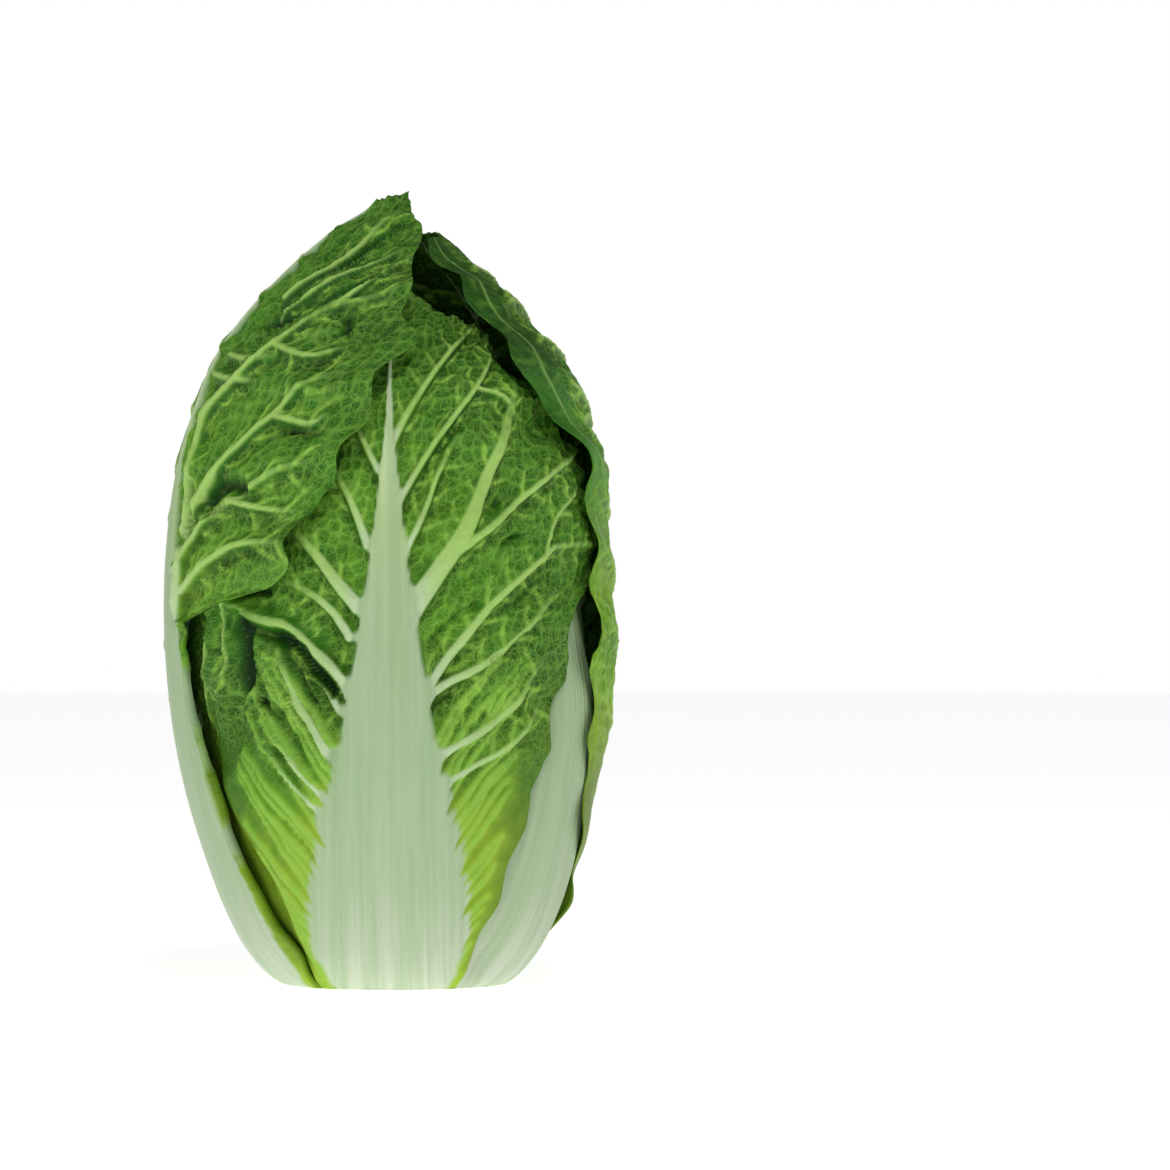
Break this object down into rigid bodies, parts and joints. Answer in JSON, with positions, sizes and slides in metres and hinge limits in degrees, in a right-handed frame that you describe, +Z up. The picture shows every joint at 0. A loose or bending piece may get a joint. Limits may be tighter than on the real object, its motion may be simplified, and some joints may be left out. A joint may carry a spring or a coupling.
{
  "type": "napa cabbage",
  "caption": "Whole head of napa cabbage standing on its trimmed base, with crinkled green wrapper leaves, broad white midribs, paler inner leaves and a yellow heart.",
  "frame": {"origin": "centre of the stump's sawn face, at the bottom of the head on its growth axis", "axes": "+Z up along the growth axis to the tip, -Y to the front, where the broad white midrib faces, +X to the right"},
  "size_m": [0.1704, 0.1573, 0.2996],
  "materials": {
    "wrapper_leaf": "waxy green leaf blade with pale veins and a white midrib",
    "inner_leaf": "pale yellow green leaf blade with a white midrib",
    "heart": "yellow crinkled young leaves",
    "stem": "freshly cut moist white stem"
  },
  "bodies": {
    "root": {"stump": "stem", "heart": "heart", "inner_leaf_left": "inner_leaf", "inner_leaf_right_back": "inner_leaf", "inner_leaf_front": "inner_leaf", "inner_leaf_left_back": "inner_leaf", "inner_leaf_right": "inner_leaf", "wrapper_leaf_left": "wrapper_leaf", "wrapper_leaf_right_back": "wrapper_leaf", "wrapper_leaf_front": "wrapper_leaf", "wrapper_leaf_left_back": "wrapper_leaf", "wrapper_leaf_right": "wrapper_leaf"}
  },
  "joints": []
}
